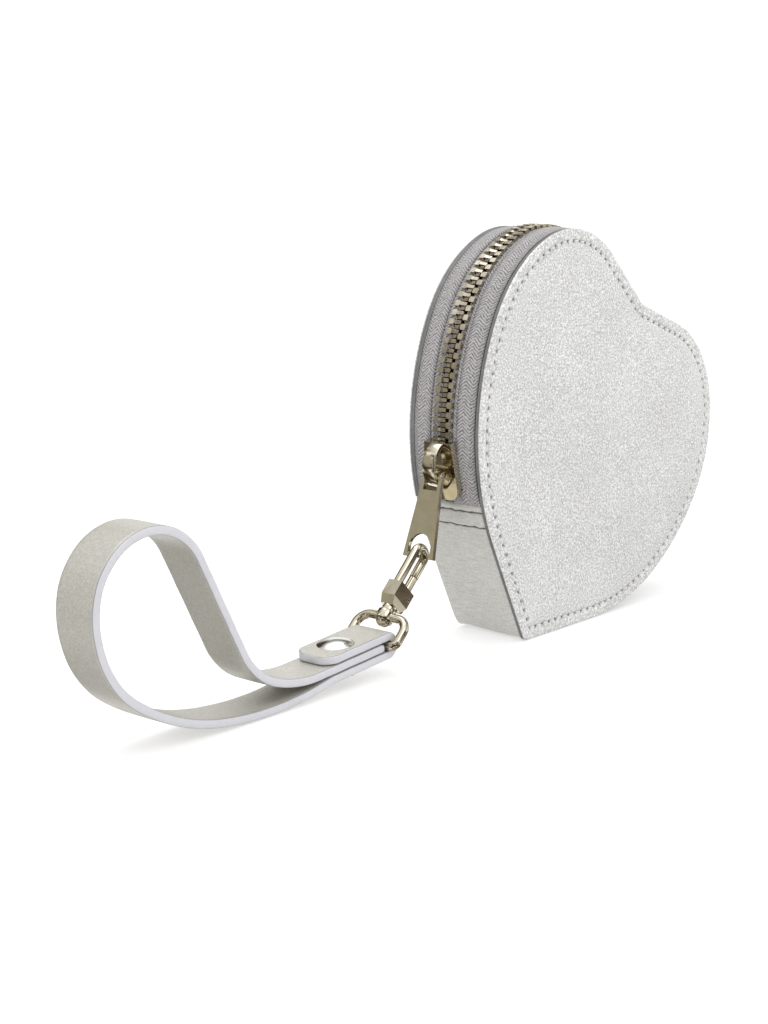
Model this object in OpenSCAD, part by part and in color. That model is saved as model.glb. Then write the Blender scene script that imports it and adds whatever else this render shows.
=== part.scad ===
// Heart shaped coin purse with a zip round its lobes, a leather gusset round its point,
// and a leather wrist strap on a swivel trigger clasp. It stands on its right lower flank.
// Outlines are drawn flat, x to the right and y up, and then stood up to face -Y.

/* [Heart] */
// Width across the lobes
heart_w = 110; // [100:1:122]
// Overall thickness, outside of one panel to outside of the other
heart_d = 22.6; // [20:0.2:28]
// Angle between the axis of the heart and the normal of its straight flank
flank_angle = 31.7; // [30:0.1:34]
// Radius of the point
tip_r = 1.5; // [1:0.1:3]
// Radius of the side, where the flank turns upward
side_r = 62.5; // [58:0.5:66]
// Radius of the shoulder, from the side to the lobe
shoulder_r = 38.5; // [35:0.5:42]
// Radius of the top of the lobe
lobe_r = 27.8; // [25:0.1:30]
// Radius of the cleft between the lobes
cleft_r = 7.3; // [6:0.1:9]

/* [Leather and lining] */
// Thickness of a panel's leather
panel_t = 1.1; // [0.8:0.1:1.6]
// Thickness of the leather backing behind a panel, down to the painted edge's inner rim
backing_t = 0.7; // [0.5:0.1:1.2]
// How far the panels stand out beyond the gusset
edge_proud = 0.4; // [0.3:0.1:0.8]
// Thickness of the gusset's leather
gusset_t = 1; // [0.7:0.1:1.4]
// Thickness of the woven lining
lining_t = 0.4; // [0.3:0.05:0.8]
// Width of the turned seam allowance, from the panel's edge inward
seam_w = 7; // [6:0.5:9]
// Gap between the seam allowance and the lining's edge
lining_gap = 0.2; // [0.1:0.1:0.5]
// Direction of the outline where the gusset ends and the zip begins
seam_heading = 42; // [40:0.5:43]
// Length of zip tape hidden under each end of the gusset
tape_tuck = 8; // [5:0.5:9]

/* [Zip] */
// Thickness of the woven tape
tape_t = 0.6; // [0.4:0.05:0.7]
// How far the tapes lie inward from the panels' edge
tape_in = 0.1; // [0.05:0.05:0.3]
// Gap between the two tapes, under the teeth
tape_gap = 2.6; // [2.5:0.1:3]
// Distance between two teeth of one row
tooth_pitch = 2.4; // [2.3:0.05:2.8]
// Length of a tooth's head along the tape
tooth_l = 0.95; // [0.8:0.05:0.98]
// Length of the legs with which a tooth grips the tape
leg_l = 1.5; // [1.2:0.05:1.6]
// Height of a tooth, through the tape
tooth_h = 2.6; // [2.4:0.05:2.7]
// Width of the closed chain, over both rows
chain_w = 5.4; // [5:0.1:5.6]
// Gap between a tooth and the tape that it grips
tooth_gap = 0.04; // [0.03:0.01:0.06]
// Length of a stop at the end of the chain
stop_l = 2; // [1.5:0.1:2.4]
// Direction of the outline at the middle of the closed slider
slider_heading = 50.2; // [50:0.1:51.5]
// Length of the slider
slider_l = 14.5; // [13.5:0.1:14.8]
// Width of the slider at its nose
slider_nose_w = 10.2; // [10:0.1:11]
// Width of the slider at its tail
slider_tail_w = 8.2; // [8:0.1:8.8]
// Thickness of each slider plate
plate_t = 1.2; // [0.9:0.1:1.5]
// Width of the slider's turned edges
rim_t = 1.1; // [0.9:0.1:1.2]
// Clear height between the slider's plates
throat_h = 3.3; // [3.2:0.05:3.5]
// Clear height of the slot that the tape runs through
slot_h = 1.7; // [1.6:0.05:1.9]
// How far the straight slider sits inward to follow the curved chain
slider_drop = 0.2; // [0.1:0.05:0.25]
// Width of the neck that joins the plates
neck_w = 2; // [1.6:0.1:2.1]

/* [Puller] */
// Length of the crown on the slider
crown_l = 11.8; // [11:0.1:12.4]
// Height of the crown over the plate
crown_h = 4.5; // [4.2:0.1:4.9]
// Width of the crown
crown_w = 3.8; // [3.4:0.1:3.9]
// Thickness of the crown's arched band
crown_t = 1.1; // [0.9:0.1:1.3]
// Angle between the crown's top and the head bar that hangs in its arch
head_angle = 20; // [15:1:25]
// Diameter of the puller's round head bar
head_bar_d = 1.5; // [1.3:0.1:1.6]
// Gap round the head bar in the crown
head_gap = 0.25; // [0.2:0.05:0.35]
// Distance from the head bar to the foot bar that the clasp hangs on
puller_l = 20.6; // [18:0.1:22]
// Thickness of the puller
puller_t = 1.1; // [0.9:0.1:1.2]
// Width of the puller at its head
puller_head_w = 6.2; // [6.2:0.1:6.8]
// Width of the puller at its foot
puller_foot_w = 9.4; // [9.2:0.1:10.2]
// Width of each arm beside the head's window
puller_arm_w = 1; // [0.8:0.05:1]
// Distance from the head bar down to the plate
puller_window_l = 4.2; // [4:0.1:5]
// Height of the cut-out over the foot bar
cutout_h = 5.2; // [5:0.1:5.6]
// Width of the cut-out at the foot bar
cutout_w = 6.8; // [6.2:0.1:7]
// Height of the foot bar
foot_bar_h = 0.8; // [0.7:0.1:1]
// Lean of the puller out from plumb
puller_lean = 16; // [13:0.5:19]

/* [Clasp] */
// Diameter of the hook's round bar
hook_d = 2.3; // [2:0.1:2.4]
// Radius of the hook's bend, at the middle of the bar
hook_r = 2.1; // [2:0.05:2.3]
// Length of the hook's spine, from the bend to the base
spine_l = 9.3; // [9:0.1:11]
// Length of the hook's nose, from the bend to the gate
nose_l = 5; // [4.6:0.1:5.2]
// Diameter of the gate
gate_d = 2.1; // [1.8:0.1:2.2]
// Gap between the gate and the hook's nose
gate_gap = 0.2; // [0.15:0.05:0.3]
// Diameter of the gate's pin
gate_pin_d = 1; // [0.8:0.1:1.1]
// Height of the base
base_l = 6; // [5.6:0.1:6.6]
// Height of the base's block, above its taper
block_l = 4; // [3.8:0.1:4.4]
// Width of the base
base_w = 6.4; // [6.4:0.1:7]
// Thickness of the base
base_t = 4; // [3.8:0.1:4.4]
// Height of the gate's thumb lever
lever_l = 4.4; // [4:0.1:4.6]
// Thickness of the thumb lever
lever_t = 1.6; // [1.4:0.1:1.8]
// Thickness of the leaf spring behind the gate
leaf_t = 0.3; // [0.2:0.05:0.35]
// Diameter of the swivel post's collar
collar_d = 3.8; // [3.4:0.1:4]
// Length of the swivel post's collar
collar_l = 1.4; // [1.2:0.1:1.8]
// Diameter of the swivel post
post_d = 2; // [1.8:0.1:2.2]
// Radial clearance of the swivel post in the ring's boss
post_clear = 0.05; // [0.03:0.01:0.08]
// End play of the ring's boss on the swivel post
post_play = 0.2; // [0.15:0.05:0.25]
// Diameter of the swivel post's domed head
dome_d = 3.8; // [3.4:0.1:4]
// Height of the swivel post's domed head
dome_h = 1.4; // [1.2:0.1:1.6]

/* [Ring] */
// Diameter of the ring's round bar
ring_d = 2.2; // [2:0.1:2.3]
// Clear width of the ring, across the strap
ring_w = 12.7; // [12.5:0.1:13.5]
// Distance between the middles of the ring's two bars
ring_h = 7.4; // [7:0.1:7.8]
// Diameter of the boss that turns on the swivel post
boss_d = 4.6; // [4.2:0.1:5]
// Radius of the ring's corners beside the boss
ring_top_r = 3.4; // [3:0.1:3.6]
// Radius of the ring's corners beside the strap
ring_foot_r = 1.5; // [1.3:0.05:1.6]
// Height of the strap's bar over the table
ring_bar_z = 7.6; // [7.2:0.1:8.4]

/* [Strap] */
// Width of the wrist strap
strap_w = 11.5; // [10.5:0.1:11.6]
// Thickness of the wrist strap
strap_t = 2.1; // [1.8:0.05:2.1]
// Gap between the strap's fold and the ring's bar
fold_gap = 0.1; // [0.06:0.01:0.15]
// Angle at which the riveted layers slope down
strap_angle = 5; // [4:0.5:6]
// Length of the top layer, from the fold to its round end
tab_l = 21.4; // [19:0.1:23]
// Corner radius at the end of the top layer
tab_corner_r = 4; // [3:0.1:5]
// Straight run of the bottom layer, past the rivet
lead_l = 19.7; // [19:0.1:22]
// Radius where the bottom layer turns down to the table
kink_r = 6.3; // [4:0.1:10]
// Radius of the loop's outer sweep, after the stretch on the table
sweep_r = 57.7; // [52:0.1:62]
// Radius of the loop's end
end_r = 24.7; // [22:0.1:27]
// Radius of the loop's top
top_r = 15.5; // [14:0.1:17]
// Radius where the upper strand turns in over the lower one
turn_r = 18.5; // [16:0.1:20]
// Radius where the upper strand runs in under the top layer
run_in_r = 36; // [30:0.5:40]

/* [Rivet] */
// Distance from the ring's bar to the rivet
rivet_x = 12.5; // [11:0.1:14]
// Diameter of the rivet's domed cap
cap_d = 9; // [8:0.1:10]
// Height of the rivet's domed cap
cap_h = 1.4; // [1.1:0.1:1.8]
// Diameter of the rivet's post
rivet_d = 3; // [2.6:0.1:3.6]
// Clearance round the rivet's post
rivet_gap = 0.05; // [0.03:0.01:0.1]
// Thickness of the rivet's back plate
rivet_back_t = 0.6; // [0.4:0.1:0.9]

/* [Hidden] */
$fn = 64;

// Directions of the outline at the end of each stretch
side_end = 85;
shoulder_end = 128;
lobe_end = 191.7;

// Directions of the strap's loop, which runs clockwise, at the end of each stretch
strap_turns = [193, 172, 146, 88, -62, -18];

// A tooth's half profile: places through the tape and across it, as shares of its half sizes
tooth_shares = [[0.7, -0.26], [0.85, 0.22], [1, 0.44], [1, 1]];

// A cut's overrun, the reach of cutting shapes, and how far a chord may leave a soft piece's arc
over = 0.5;
far = 4*heart_w;
chord_gap = 0.01;

// Route geometry. A route is a list of steps: [length, 0] runs straight, and
// [radius, angle] turns left through a positive angle or right through a negative one.
function unit(a) = [cos(a), sin(a)];
function left(a) = [-sin(a), cos(a)];
function cross2(a, b) = a[0]*b[1] - a[1]*b[0];
function turned(p, a) = [p[0]*cos(a) - p[1]*sin(a), p[0]*sin(a) + p[1]*cos(a)];
function mirrored(p) = [-p[0], p[1]];
function step_len(s) = s[1] == 0 ? s[0] : s[0]*abs(s[1])*PI/180;
function step_end(p, h, s) = s[1] == 0 ? p + s[0]*unit(h)
    : p + sign(s[1])*s[0]*(left(h) - left(h + s[1]));
function step_part(s, share) = s[1] == 0 ? [s[0]*share, 0] : [s[0], s[1]*share];
function centre_of(p, h, s) = p + sign(s[1])*s[0]*left(h);
// Point and direction at a share of a step that starts at a place
function spot(place, s, share) = [share == 0 ? place[0] : step_end(place[0], place[1], step_part(s, share)),
    place[1] + s[1]*share];
// Each step's start, as [point, direction], and after them the route's end
function starts(route, p, h, i = 0) = i == len(route) ? [[p, h]]
    : concat([[p, h]], starts(route, step_end(p, h, route[i]), h + route[i][1], i + 1));
function route_end(route, p, h) = starts(route, p, h)[len(route)];
// Point and direction at a distance along a route
function walk(route, p, h, s, i = 0) =
    let (st = route[i], l = step_len(st))
    s <= l || i == len(route) - 1 ? spot([p, h], st, s/l)
        : walk(route, step_end(p, h, st), h + st[1], s - l, i + 1);
// Number of chords in a step
function chords(s) = s[1] == 0 ? 1 : ceil(abs(s[1])/(2*acos(1 - chord_gap/s[0])));
// Points at a distance to the left of a route, from one step to another, at the end of each chord
function beside(route, route_places, d, first, last) = [for (i = [first:last])
    for (k = [1:chords(route[i])])
        let (q = spot(route_places[i], route[i], k/chords(route[i]))) q[0] + d*left(q[1])];

// Heart outline, right half, from the point up to the cleft. The flank's length
// gives the stated width, and the dip's length brings the cleft to the middle.
flank_l = (heart_w/2 - tip_r*sin(flank_angle) - side_r*(sin(side_end) - sin(flank_angle))
    - shoulder_r*(1 - sin(side_end)))/cos(flank_angle);
lobe_end_x = heart_w/2 - shoulder_r*(1 - sin(shoulder_end)) - lobe_r*(sin(shoulder_end) - sin(lobe_end));
dip_l = (lobe_end_x + cleft_r*sin(lobe_end))/-cos(lobe_end);
outline = [[tip_r, flank_angle], [flank_l, 0], [side_r, side_end - flank_angle],
    [shoulder_r, shoulder_end - side_end], [lobe_r, lobe_end - shoulder_end], [dip_l, 0],
    [cleft_r, 180 - lobe_end]];
places = starts(outline, [0, 0], 0);
side_c = centre_of(places[2][0], places[2][1], outline[2]);
shoulder_c = centre_of(places[3][0], places[3][1], outline[3]);
cleft_p = places[7][0];

// Layers, inward from the outline and from the middle plane
tuck_in = edge_proud + gusset_t;
chain_in = tape_in + tape_t/2;
shell_z = heart_d/2 - panel_t - backing_t;
chain_r = side_r - chain_in;
tuck_heading = seam_heading - tape_tuck/chain_r*180/PI;
riser_heading = seam_heading + tape_t/chain_r*180/PI;

// Chain line, from the cleft outward along the right half
chain = [[cleft_r + chain_in, lobe_end - 180], [dip_l, 0], [lobe_r - chain_in, shoulder_end - lobe_end],
    [shoulder_r - chain_in, side_end - shoulder_end], [side_r - chain_in, flank_angle - side_end]];
chain_p = cleft_p - [0, chain_in];
function chain_to(heading) = step_len(chain[0]) + dip_l + step_len(chain[2]) + step_len(chain[3])
    + chain_r*(side_end - heading)*PI/180;
half_pitch = tooth_pitch/2;
teeth_left = floor(chain_to(slider_heading)/half_pitch);
stop_heading = seam_heading + stop_l/chain_r*180/PI;
teeth_right = floor((chain_to(stop_heading) - stop_l)/half_pitch);

// Flat view of the standing purse: the right flank lies on the table at y = 0, and the
// teeth reach furthest to the right
function stood(p) = [0, tip_r] + turned(p - [0, tip_r], -flank_angle);
right_end = stood(shoulder_c)[0] + shoulder_r - chain_in + tooth_h/2;

// Slider: x runs out of the gusset and y toward the nose
slider_a = 270 - slider_heading - flank_angle;
slider_c = stood(mirrored(side_c)) + (chain_r - slider_drop)*unit(slider_a);
plate_x = throat_h/2;
neck_y = slider_l*0.3;
crown_x = plate_x + plate_t;
crown_r = (crown_l*crown_l/4 + crown_h*crown_h)/(2*crown_h);
crown_c = [crown_x + crown_h - crown_r, (crown_l - slider_l)/2];
pin_local = crown_c + (crown_r - crown_t - head_gap - head_bar_d/2)*unit(head_angle);
puller_pin = slider_c + pin_local[0]*unit(slider_a) + pin_local[1]*left(slider_a);

// Puller, clasp and ring hang in one line of joints down to the strap's bar
puller_end = puller_pin - puller_l*[sin(puller_lean), cos(puller_lean)];
post_l = collar_l + post_play + ring_d + post_play;
boss_y = -spine_l - base_l - collar_l - post_play - ring_d/2;
clasp_l = ring_h - boss_y;
clasp_lean = acos((puller_end[1] - ring_bar_z)/clasp_l);
ring_bar = puller_end - clasp_l*[sin(clasp_lean), cos(clasp_lean)];
ring_half_w = ring_w/2 + ring_d/2;

// Strap: one band, folded round the ring's bar. Its two straight runs are as long as
// brings the end back between the layers, and it just touches the table.
fold_r = ring_d/2 + fold_gap + strap_t/2;
strap_back = 180 + strap_angle;
tab_start = ring_bar + fold_r*left(strap_angle) + tab_l*unit(strap_back);
lead = [[tab_l, 0], [fold_r, -180], [lead_l, 0], [kink_r, strap_turns[0] - strap_back]];
lead_end = route_end(lead, tab_start, strap_angle)[0];
floor_r = (lead_end[1] - strap_t/2)/(1 - cos(strap_turns[0] - 180));
loop = [[floor_r, strap_turns[1] - strap_turns[0]], [sweep_r, strap_turns[2] - strap_turns[1]],
    [end_r, strap_turns[3] - strap_turns[2]], [top_r, strap_turns[4] - strap_turns[3]]];
run_in = [[turn_r, strap_turns[5] - strap_turns[4]], [run_in_r, strap_angle - strap_turns[5]]];
loop_end = route_end(loop, lead_end, strap_turns[0])[0];
bare_end = route_end(run_in, loop_end, strap_turns[4])[0];
cut_end = ring_bar + (ring_d/2 + fold_gap + strap_t/3)*unit(strap_back);
drop_l = cross2(cut_end - bare_end, unit(strap_angle))/cross2(unit(strap_turns[4]), unit(strap_angle));
under_l = cross2(unit(strap_turns[4]), cut_end - bare_end)/cross2(unit(strap_turns[4]), unit(strap_angle));
strap = concat(lead, loop, [[drop_l, 0]], run_in, [[under_l, 0]]);
strap_places = starts(strap, tab_start, strap_angle);
loop_c = centre_of(strap_places[6][0], strap_places[6][1], strap[6]);
left_end = loop_c[0] - end_r - strap_t/2;
mid_x = (left_end + right_end)/2;
stack_h = fold_r + strap_t/2;

echo(flank_l = flank_l, dip_l = dip_l, clasp_lean = clasp_lean, floor_r = floor_r, drop_l = drop_l,
    under_l = under_l, ring_bar = ring_bar, puller_pin = puller_pin, mid_x = mid_x,
    size_x = right_end - left_end, teeth = teeth_left + teeth_right);
echo(puller_end = puller_end, slider_c = slider_c, side_c = stood(mirrored(side_c)),
    gate_p = gate_p, gate_flat = puller_end + turned(gate_p, -clasp_lean));

// Placing modules
module upright() translate([-mid_x, 0, 0]) rotate([90, 0, 0]) children();
module in_heart() upright() translate([0, tip_r]) rotate(-flank_angle) translate([0, -tip_r]) children();
module in_slider() upright() translate(slider_c) rotate(slider_a) children();
module in_puller() upright() translate(puller_pin) rotate(-puller_lean) children();
module in_clasp() upright() translate(puller_end) rotate(-clasp_lean) children();
module in_stack() upright() translate(ring_bar) rotate(strap_back) children();
module both_faces(rear) mirror([0, 0, rear ? 1 : 0]) children();
// Stands a flat shape so that its x and y run along y and z, and its thickness along x
module edgewise() rotate([90, 0, 90]) children();
// Turns a shape's z axis down along -y
module downward() rotate([90, 0, 0]) children();

// Plane shapes
// A band between two distances to the left of a route
module band(route, route_places, lo, hi) {
    first = route_places[0];
    last = len(route) - 1;
    inner = concat([first[0] + lo*left(first[1])], beside(route, route_places, lo, 0, last));
    outer = concat([first[0] + hi*left(first[1])], beside(route, route_places, hi, 0, last));
    polygon(concat(inner, [for (i = [len(outer) - 1:-1:0]) outer[i]]));
}
// Heart outline drawn in by an inset, with a sharp point once the inset uses up its radius
module heart(inset) {
    sharp = inset >= tip_r;
    point = sharp ? [0, tip_r + (inset - tip_r)/cos(flank_angle)] : [0, inset];
    right = beside(outline, places, inset, sharp ? 1 : 0, 6);
    polygon(concat([point], [for (i = [0:len(right) - 2]) right[i]], [cleft_p - [0, inset]],
        [for (i = [len(right) - 2:-1:0]) mirrored(right[i])]));
}
// Everything on the point's side of the two lines where the outline has this direction
module below(heading) {
    apex = side_c - side_c[0]/sin(heading)*[sin(heading), -cos(heading)];
    reach = far*[sin(heading), -cos(heading)];
    polygon([apex, apex + mirrored(reach), apex + reach]);
}
module rim(inset, depth) difference() {
    heart(inset);
    heart(inset + depth);
}
// A round cap of a ball, on its base circle
module ball_cap(d, h) {
    r = (d*d/4 + h*h)/(2*h);
    rotate_extrude() intersection() {
        translate([0, h - r]) circle(r);
        square([d, h]);
    }
}

// Panels and linings
// The rear panel and its backing lie inside the gusset's edge, which covers theirs
module face_layer(inset, z, t) in_heart() translate([0, 0, z]) linear_extrude(t) heart(inset);
module covered_layer(z, t) in_heart() translate([0, 0, z]) linear_extrude(t) difference() {
    heart(0);
    edge_cover();
}
module edge_cover() intersection() {
    rim(0, gusset_t);
    below(seam_heading);
}
module front_panel() color([0.84, 0.84, 0.83]) face_layer(0, heart_d/2 - panel_t, panel_t);
module rear_panel() color([0.84, 0.84, 0.83]) covered_layer(-heart_d/2, panel_t);
module front_backing() color([0.55, 0.55, 0.56]) face_layer(0, shell_z, backing_t);
module rear_backing() color([0.55, 0.55, 0.56]) covered_layer(-shell_z - backing_t, backing_t);
module front_lining() color([0.6, 0.58, 0.6]) face_layer(seam_w + lining_gap, shell_z - lining_t, lining_t);
module rear_lining() color([0.6, 0.58, 0.6]) face_layer(seam_w + lining_gap, -shell_z, lining_t);

// Gusset: a leather channel round the point. Its front edge is turned in behind the front
// panel, and its rear edge is turned in under the rear panel and covers that panel's edge.
module gusset_strip() color([0.74, 0.74, 0.72]) in_heart() {
    linear_extrude(2*shell_z, center = true) intersection() {
        rim(edge_proud, gusset_t);
        below(seam_heading);
    }
    for (rear = [false, true]) both_faces(rear) translate([0, 0, shell_z - gusset_t])
        linear_extrude(gusset_t) intersection() {
            rim(edge_proud, seam_w - edge_proud);
            below(seam_heading);
        }
    translate([0, 0, -heart_d/2]) linear_extrude(panel_t + backing_t) edge_cover();
}
module gusset_lining() color([0.6, 0.58, 0.6]) in_heart()
    linear_extrude(2*(shell_z - gusset_t), center = true) intersection() {
        rim(tuck_in, lining_t);
        below(tuck_heading);
    }

// Zip tapes: each is turned in behind its panel, and its ends step down and run on
// under the gusset
module tape(rear) color([0.7, 0.68, 0.71]) in_heart() both_faces(rear) {
    translate([0, 0, tape_gap/2]) linear_extrude(shell_z - tape_gap/2) difference() {
        rim(tape_in, tape_t);
        below(seam_heading);
    }
    translate([0, 0, tape_gap/2]) linear_extrude(shell_z - tape_gap/2) intersection() {
        difference() {
            rim(tape_in, tuck_in + tape_t - tape_in);
            below(seam_heading);
        }
        below(riser_heading);
    }
    translate([0, 0, tape_gap/2]) linear_extrude(shell_z - gusset_t - tape_gap/2) intersection() {
        difference() {
            rim(tuck_in, tape_t);
            below(tuck_heading);
        }
        below(seam_heading);
    }
    translate([0, 0, shell_z - tape_t]) linear_extrude(tape_t) difference() {
        rim(tape_in, seam_w - tape_in);
        below(seam_heading);
    }
}
module front_tape() tape(false);
module rear_tape() tape(true);

// Teeth: each grips the edge of its own tape and reaches past the middle
module tooth() {
    lip = tape_t/2 + tooth_gap;
    side = [for (s = tooth_shares) [s[0]*tooth_h/2, s[1]*chain_w/2]];
    edge = tape_gap/2 - tooth_gap;
    translate([-tooth_l/2, 0, 0]) edgewise() linear_extrude(tooth_l)
        polygon(concat(side, [[lip, chain_w/2], [lip, edge], [-lip, edge], [-lip, chain_w/2]],
            [for (i = [len(side) - 1:-1:0]) [-side[i][0], side[i][1]]]));
    translate([-leg_l/2, 0, 0]) edgewise() linear_extrude(leg_l)
        for (side = [0, 1]) mirror([side, 0]) translate([lip, edge])
            square([tooth_h/2 - lip, chain_w/2 - edge]);
}
module on_chain(s) {
    spot = walk(chain, chain_p, 0, abs(s));
    mirror([s < 0 ? 0 : 1, 0, 0]) translate(spot[0]) rotate(spot[1]) children();
}
module teeth(rear) color([0.55, 0.51, 0.44]) in_heart() both_faces(rear)
    for (i = [-teeth_right:teeth_left])
        if ((i % 2 != 0) == rear) on_chain(i*half_pitch) tooth();
module front_teeth() teeth(false);
module rear_teeth() teeth(true);

// Stops: a clip on each tape beside the slider's neck, and one box over both tapes at the far end
module clip(inner_z, outer_z, l) {
    lip = tape_t/2 + tooth_gap;
    edge = tape_gap/2 - tooth_gap;
    translate([-l/2, 0, 0]) edgewise() linear_extrude(l) difference() {
        translate([-tooth_h/2, inner_z]) square([tooth_h, outer_z - inner_z]);
        translate([-lip, edge]) square([2*lip, outer_z]);
    }
}
module top_stops() color([0.55, 0.51, 0.44]) in_heart()
    on_chain(chain_to(slider_heading) + neck_y)
        for (rear = [false, true]) both_faces(rear) clip(tape_gap/2 - head_gap, chain_w/2, stop_l);
module bottom_stop() color([0.55, 0.51, 0.44]) in_heart()
    on_chain(-chain_to(stop_heading))
        for (rear = [false, true]) both_faces(rear) clip(0, chain_w/2, stop_l);

// Slider: two plates with turned edges, joined by the neck at the nose
module slider_plan(narrow) {
    nose = slider_nose_w/2 - narrow;
    tail = slider_tail_w/2 - narrow;
    round_r = nose/2;
    polygon([[-slider_l/2, -tail], [slider_l/2 - round_r, -nose], [slider_l/2 - round_r, nose],
        [-slider_l/2, tail]]);
    for (z = [-1, 1]) translate([slider_l/2 - round_r, z*(nose - round_r)]) circle(round_r);
    translate([slider_l/2 - round_r, round_r - nose]) square([round_r, 2*(nose - round_r)]);
}
module slider_body() color([0.66, 0.63, 0.54]) in_slider() {
    for (side = [0, 1]) mirror([side, 0, 0]) {
        translate([plate_x, 0, 0]) edgewise() linear_extrude(plate_t) slider_plan(0);
        translate([slot_h/2, 0, 0]) edgewise() linear_extrude(plate_x - slot_h/2) difference() {
            slider_plan(0);
            polygon([[-slider_l, -slider_tail_w/2 + rim_t], [-slider_l/2, -slider_tail_w/2 + rim_t],
                [slider_l/2 - rim_t, -slider_nose_w/2 + rim_t], [slider_l, -slider_nose_w/2 + rim_t],
                [slider_l, slider_nose_w/2 - rim_t], [slider_l/2 - rim_t, slider_nose_w/2 - rim_t],
                [-slider_l/2, slider_tail_w/2 - rim_t], [-slider_l, slider_tail_w/2 - rim_t]]);
        }
    }
    translate([-plate_x, 0, 0]) edgewise() linear_extrude(throat_h) {
        translate([neck_y, 0]) circle(neck_w/2);
        polygon([[neck_y - 1.3*neck_w, 0], [neck_y, -neck_w/2], [neck_y + neck_w, 0], [neck_y, neck_w/2]]);
    }
}
// Crown: an arched band from the plate's tail on, in which the puller's head bar hangs
module slider_crown() color([0.72, 0.69, 0.6]) in_slider()
    linear_extrude(crown_w, center = true) intersection() {
        translate(crown_c) difference() {
            circle(crown_r);
            circle(crown_r - crown_t);
        }
        translate([crown_x, crown_c[1] - crown_l]) square(2*crown_l);
    }

// Puller: a round head bar between two arms, a plain tapering plate, and a foot bar
foot = foot_bar_h/2;
module puller_plan() {
    window_w = puller_head_w - 2*puller_arm_w;
    difference() {
        polygon([[0, -puller_head_w/2], [-puller_window_l, -puller_head_w/2],
            [-puller_l - foot, -puller_foot_w/2], [-puller_l - foot, puller_foot_w/2],
            [-puller_window_l, puller_head_w/2], [0, puller_head_w/2]]);
        translate([-puller_window_l, -window_w/2]) square([puller_window_l + over, window_w]);
        cutout();
    }
}
module cutout() {
    corner = foot_bar_h/2;
    crest = cutout_w/2;
    low = foot - puller_l;
    translate([low + cutout_h - crest, 0]) intersection() {
        circle(crest);
        translate([0, -crest]) square([crest, cutout_w]);
    }
    translate([low + corner, -crest]) square([cutout_h - crest - corner, cutout_w]);
    translate([low, corner - crest]) square([corner, cutout_w - 2*corner]);
    for (z = [-1, 1]) translate([low + corner, z*(crest - corner)]) circle(corner);
}
module zip_puller() color([0.66, 0.62, 0.5]) in_puller() {
    translate([-puller_t/2, 0, 0]) edgewise() linear_extrude(puller_t) puller_plan();
    cylinder(h = puller_head_w, d = head_bar_d, center = true);
}

// Clasp: a hook whose bend turns on the puller's foot bar, and a block that tapers on
// four sides down to the swivel post. The gate and its thumb lever turn in a slot.
gate_p = [hook_r, -spine_l - gate_d];
cheek_gap = gate_d/2 + gate_gap;
module clasp_hook() color([0.7, 0.68, 0.6]) in_clasp() {
    rotate_extrude(angle = 180) translate([hook_r, 0]) circle(d = hook_d);
    translate([-hook_r, 0]) downward() cylinder(h = spine_l, d = hook_d);
    translate([hook_r, 0]) downward() cylinder(h = nose_l, d = hook_d);
    difference() {
        intersection() {
            linear_extrude(base_t, center = true) tapered(base_w);
            translate([-base_w/2, 0, 0]) rotate([0, 90, 0]) linear_extrude(base_w) tapered(base_t);
        }
        translate([0, gate_p[1] - gate_d, -cheek_gap]) cube([base_w, base_l, 2*cheek_gap]);
        translate([gate_p[0] - gate_gap, -spine_l - base_l - over, -cheek_gap])
            cube([base_w, base_l, 2*cheek_gap]);
        translate(gate_p) cylinder(h = 2*base_t, d = gate_pin_d + 2*post_clear, center = true);
    }
}
module tapered(w) polygon([[-w/2, -spine_l], [-w/2, -spine_l - block_l], [-collar_d/2, -spine_l - base_l],
    [collar_d/2, -spine_l - base_l], [w/2, -spine_l - block_l], [w/2, -spine_l]]);
module clasp_gate() color([0.7, 0.68, 0.6]) in_clasp() translate(gate_p) difference() {
    union() {
        cylinder(h = gate_d, d = gate_d, center = true);
        rotate([-90, 0, 0]) cylinder(h = -nose_l - gate_gap - gate_p[1], d = gate_d);
        linear_extrude(gate_d, center = true) translate([lever_t/2, 0]) {
            circle(lever_t/2);
            translate([-lever_t/2, lever_t - lever_l]) square([lever_t, lever_l - lever_t]);
            translate([0, lever_t - lever_l]) circle(lever_t/2);
        }
    }
    cylinder(h = 2*base_t, d = gate_pin_d + 2*post_clear, center = true);
}
// The pin stops short of the base's faces
module gate_pin() color([0.6, 0.58, 0.52]) in_clasp() translate(gate_p)
    cylinder(h = base_t - 2*gate_gap, d = gate_pin_d, center = true);
// A leaf on the slot's back wall, which pushes the gate shut
module gate_spring() color([0.6, 0.58, 0.52]) in_clasp()
    translate([0, -spine_l - base_l/2, -gate_d/2]) cube([leaf_t, base_l/2, gate_d]);

// Swivel: a post under the base, with a domed head inside the ring
module swivel_post() color([0.76, 0.74, 0.68]) in_clasp() translate([0, -spine_l - base_l]) downward() {
    cylinder(h = collar_l, d = collar_d);
    cylinder(h = post_l, d = post_d);
    translate([0, 0, post_l]) ball_cap(dome_d, dome_h);
}
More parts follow.
